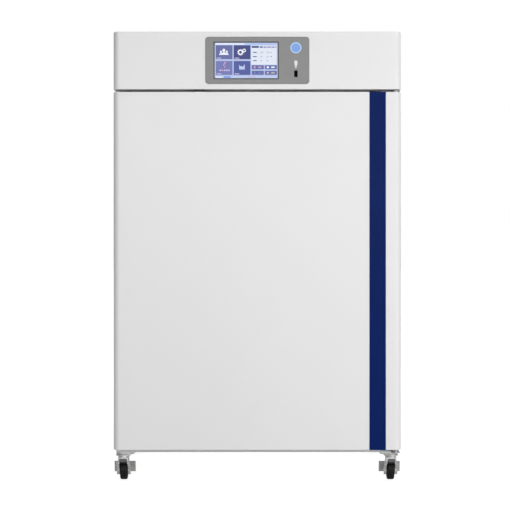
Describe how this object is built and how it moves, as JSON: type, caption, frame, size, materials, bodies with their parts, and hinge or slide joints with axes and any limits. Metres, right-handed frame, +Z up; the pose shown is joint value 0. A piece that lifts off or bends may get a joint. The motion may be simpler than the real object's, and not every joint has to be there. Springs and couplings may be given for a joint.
{
  "type": "carbon dioxide incubator",
  "caption": "Free-standing carbon dioxide incubator: a heated cabinet on swivel casters with a solid outer door, a glass inner door, perforated shelves, a water pan and a touch-screen head.",
  "frame": {"origin": "on the floor under the middle of the footprint, casters trailing to the back", "axes": "+Z up, +X to the right of a person facing the doors, -Y out of the front"},
  "size_m": [0.706, 0.72, 1.086],
  "materials": {
    "casing_paint": "fine textured powder coat, satin",
    "stainless": "satin stainless sheet",
    "zinc_plate": "bright zinc plate",
    "aluminium_cast": "cast and turned, matt",
    "strip_blue": "smooth satin film",
    "bezel_grey": "matt moulded",
    "screen_black": "gloss glass front",
    "moulded_black": "fine moulded texture",
    "button_ring": "translucent, satin",
    "button_cap": "satin",
    "circuit_board": "solder-mask gloss",
    "brass_fitting": "turned",
    "rigid_foam": "poured rigid foam",
    "heater_foil": "silicone heater sheet",
    "seal_grey": "soft magnetic seal",
    "silicone_white": "translucent silicone",
    "rubber_black": "moulded rubber",
    "wheel_black": "hard rubber tread on a moulded core",
    "bush_white": "moulded",
    "clear_glass": "tempered, polished edges"
  },
  "bodies": {
    "cabinet": {"side_panel_left": "casing_paint", "side_panel_right": "casing_paint", "top_cover": "casing_paint", "rear_panel": "casing_paint", "base_pan": "casing_paint", "front_frame": "stainless", "electronics_deck": "stainless", "insulation_jacket": "rigid_foam", "inner_chamber": "stainless", "heater_mats": "heater_foil", "fan_duct_panel": "stainless", "shelf_supports": "stainless", "shelf_lower": "stainless", "shelf_middle": "stainless", "shelf_upper": "stainless", "water_pan": "stainless", "fan_motor": "aluminium_cast", "chamber_probes": "stainless", "mouth_gasket": "silicone_white", "hinge_brackets": "zinc_plate", "glass_hinge_brackets": "zinc_plate", "magnetic_catch": "rubber_black", "control_fascia": "casing_paint", "control_bezel": "bezel_grey", "touch_screen": "screen_black", "data_port": "moulded_black", "button_collar": "button_ring", "control_board": "circuit_board", "power_supply": "aluminium_cast", "gas_valve": "aluminium_cast", "gas_inlet": "brass_fitting", "mains_inlet": "moulded_black", "rear_bumpers": "rubber_black", "access_port_tube": "silicone_white", "caster_plates": "zinc_plate"},
    "outer_door": {"door_skin": "casing_paint", "door_core": "rigid_foam", "door_liner": "stainless", "door_gasket": "seal_grey", "door_strip": "strip_blue", "door_pull": "moulded_black", "door_magnet": "moulded_black", "door_bushes": "bush_white"},
    "glass_door": {"inner_glass": "clear_glass", "glass_fittings": "zinc_plate", "glass_handle": "moulded_black"},
    "power_button": {"power_button": "button_cap"},
    "mains_rocker": {"mains_rocker": "moulded_black"},
    "fan_impeller": {"fan_impeller": "aluminium_cast"},
    "port_stopper": {"port_stopper": "silicone_white"},
    "caster_front_left": {"caster_fork_front_left": "zinc_plate"},
    "wheel_front_left": {"caster_wheel_front_left": "wheel_black"},
    "brake_left": {"brake_pedal_left": "zinc_plate"},
    "caster_front_right": {"caster_fork_front_right": "zinc_plate"},
    "wheel_front_right": {"caster_wheel_front_right": "wheel_black"},
    "brake_right": {"brake_pedal_right": "zinc_plate"},
    "caster_rear_left": {"caster_fork_rear_left": "zinc_plate"},
    "wheel_rear_left": {"caster_wheel_rear_left": "wheel_black"},
    "caster_rear_right": {"caster_fork_rear_right": "zinc_plate"},
    "wheel_rear_right": {"caster_wheel_rear_right": "wheel_black"}
  },
  "joints": [
    {"name": "outer_door_hinge", "type": "hinge", "parent": "cabinet", "child": "outer_door", "pos_m": [0.333, -0.338, 0.513], "axis": [0, 0, 1], "range_deg": [0, 120]},
    {"name": "glass_door_hinge", "type": "hinge", "parent": "cabinet", "child": "glass_door", "pos_m": [0.275, -0.2818, 0.495], "axis": [0, 0, 1], "range_deg": [0, 100]},
    {"name": "power_button_press", "type": "slide", "parent": "cabinet", "child": "power_button", "axis": [0, 1, 0], "range_m": [0, 0.002], "stiffness_N_per_m": 400},
    {"name": "mains_rocker_tip", "type": "hinge", "parent": "cabinet", "child": "mains_rocker", "pos_m": [0.25, 0.337, 1.0295], "axis": [-1, 0, 0], "range_deg": [0, 22]},
    {"name": "fan_spin", "type": "hinge", "parent": "cabinet", "child": "fan_impeller", "pos_m": [0, 0.211, 0.69], "axis": [0, 1, 0], "continuous": true},
    {"name": "port_stopper_pull", "type": "slide", "parent": "cabinet", "child": "port_stopper", "axis": [0, 1, 0], "range_m": [0, 0.05]},
    {"name": "swivel_front_left", "type": "hinge", "parent": "cabinet", "child": "caster_front_left", "pos_m": [-0.327, -0.274, 0.06], "axis": [0, 0, 1], "continuous": true},
    {"name": "roll_front_left", "type": "hinge", "parent": "caster_front_left", "child": "wheel_front_left", "pos_m": [-0.327, -0.252, 0.025], "axis": [1, 0, 0], "continuous": true},
    {"name": "brake_press_left", "type": "hinge", "parent": "caster_front_left", "child": "brake_left", "pos_m": [-0.327, -0.252, 0.025], "axis": [-1, 0, 0], "range_deg": [0, 18], "stiffness_Nm_per_rad": 1.5},
    {"name": "swivel_front_right", "type": "hinge", "parent": "cabinet", "child": "caster_front_right", "pos_m": [0.327, -0.274, 0.06], "axis": [0, 0, 1], "continuous": true},
    {"name": "roll_front_right", "type": "hinge", "parent": "caster_front_right", "child": "wheel_front_right", "pos_m": [0.327, -0.252, 0.025], "axis": [1, 0, 0], "continuous": true},
    {"name": "brake_press_right", "type": "hinge", "parent": "caster_front_right", "child": "brake_right", "pos_m": [0.327, -0.252, 0.025], "axis": [-1, 0, 0], "range_deg": [0, 18], "stiffness_Nm_per_rad": 1.5},
    {"name": "swivel_rear_left", "type": "hinge", "parent": "cabinet", "child": "caster_rear_left", "pos_m": [-0.327, 0.295, 0.06], "axis": [0, 0, 1], "continuous": true},
    {"name": "roll_rear_left", "type": "hinge", "parent": "caster_rear_left", "child": "wheel_rear_left", "pos_m": [-0.327, 0.317, 0.025], "axis": [1, 0, 0], "continuous": true},
    {"name": "swivel_rear_right", "type": "hinge", "parent": "cabinet", "child": "caster_rear_right", "pos_m": [0.327, 0.295, 0.06], "axis": [0, 0, 1], "continuous": true},
    {"name": "roll_rear_right", "type": "hinge", "parent": "caster_rear_right", "child": "wheel_rear_right", "pos_m": [0.327, 0.317, 0.025], "axis": [1, 0, 0], "continuous": true}
  ],
  "couplings": [
    {"joint": "glass_door_hinge", "follows": "outer_door_hinge", "ratio": 0.83333}
  ]
}
